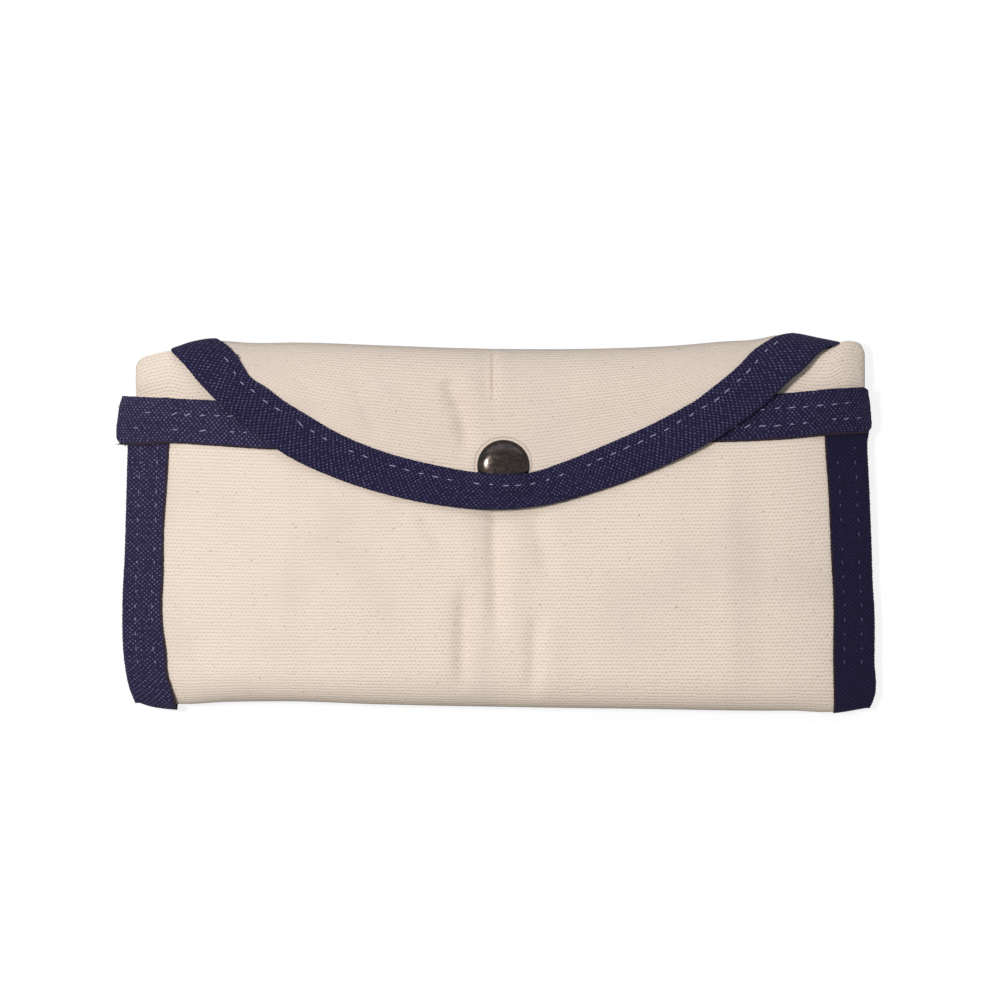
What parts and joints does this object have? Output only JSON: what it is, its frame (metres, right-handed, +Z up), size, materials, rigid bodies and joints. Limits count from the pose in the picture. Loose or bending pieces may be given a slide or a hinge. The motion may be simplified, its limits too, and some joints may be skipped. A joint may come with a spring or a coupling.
{
  "type": "folding tote bag",
  "caption": "Canvas tote bag folded flat into its own rectangular pouch, bound in navy tape, with a curved flap closed by a domed snap.",
  "frame": {"origin": "centre of the object's footprint, on the surface that its back panel lies on", "axes": "+X to the right along the mouth, +Y towards the flap's fold, +Z up out of the closed flap"},
  "size_m": [0.223, 0.1088, 0.0209],
  "materials": {
    "canvas": "matte cream cotton duck, plain weave with dark flecks",
    "binding_tape": "matte navy cotton tape, fine diagonal weave",
    "handle_webbing": "matte navy cotton webbing",
    "snap_cap_metal": "dark gunmetal, satin",
    "snap_metal": "nickel, satin"
  },
  "bodies": {
    "pouch": {"pouch_panel": "canvas", "rim_binding": "binding_tape", "side_binding_left": "binding_tape", "side_binding_right": "binding_tape", "flap_binding_back_left": "binding_tape", "flap_binding_back_right": "binding_tape", "snap_stud": "snap_metal", "snap_post": "snap_metal", "tote_back_panel": "canvas", "tote_front_panel": "canvas", "tote_side_binding_left": "binding_tape", "tote_side_binding_right": "binding_tape", "tote_rim_binding_front": "binding_tape", "tote_rim_binding_back": "binding_tape", "handle_front": "handle_webbing", "handle_back": "handle_webbing"},
    "bridge": {"flap_bridge": "canvas", "flap_binding_bridge_left": "binding_tape", "flap_binding_bridge_right": "binding_tape"},
    "flap": {"flap_front": "canvas", "flap_binding_front": "binding_tape", "snap_cap": "snap_cap_metal", "snap_socket": "snap_metal", "snap_spring": "snap_metal"}
  },
  "joints": [
    {"name": "back_fold", "type": "hinge", "parent": "pouch", "child": "bridge", "pos_m": [0, 0.05314, 0.002], "axis": [-1, 0, 0], "range_deg": [0, 89]},
    {"name": "front_fold", "type": "hinge", "parent": "bridge", "child": "flap", "pos_m": [0, 0.05314, 0.0162], "axis": [-1, 0, 0], "range_deg": [0, 89]}
  ],
  "couplings": [
    {"joint": "front_fold", "follows": "back_fold", "ratio": 1}
  ]
}
